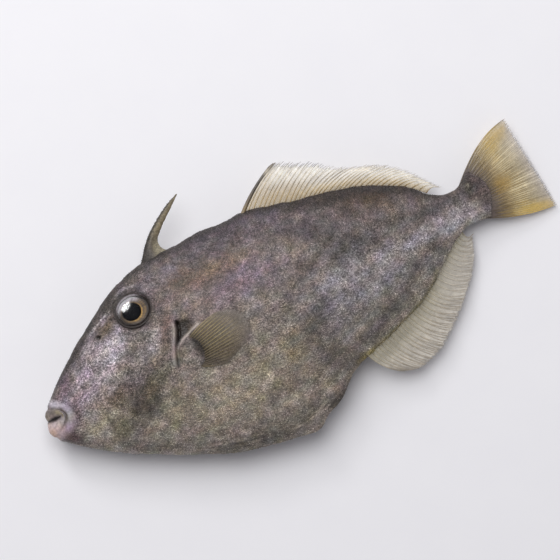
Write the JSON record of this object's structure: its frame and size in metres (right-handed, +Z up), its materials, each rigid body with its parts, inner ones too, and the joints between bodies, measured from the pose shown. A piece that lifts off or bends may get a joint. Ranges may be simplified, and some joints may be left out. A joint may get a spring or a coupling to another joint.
{
  "type": "filefish",
  "caption": "Life-size filefish lying on its right flank, with a deep flat body, small lipped mouth, raised back spine and ridged ray fins.",
  "frame": {"origin": "middle of the bounding box at the level of the surface that the fish lies on", "axes": "+X from the snout to the tail, +Y from the belly to the back, +Z up out of the upper, left flank"},
  "size_m": [0.2679, 0.1323, 0.0375],
  "materials": {
    "skin": "velvety, finely rough fish skin with a damp sparkle",
    "lip_skin": "smooth damp skin",
    "eye": "wet and glossy",
    "spine_horn": "rough horn-like bone",
    "fin_membrane": "thin damp membrane with raised rays"
  },
  "bodies": {
    "root": {"head": "skin", "trunk_front": "skin", "trunk_rear": "skin", "tail_stalk": "skin", "pelvic_stub": "skin", "upper_lip": "lip_skin", "lower_lip": "lip_skin", "eye_left": "eye", "eye_right": "eye", "dorsal_spine": "spine_horn", "dorsal_fin": "fin_membrane", "anal_fin": "fin_membrane", "caudal_fin": "fin_membrane", "pectoral_fin_left": "fin_membrane", "pectoral_fin_right": "fin_membrane"}
  },
  "joints": []
}
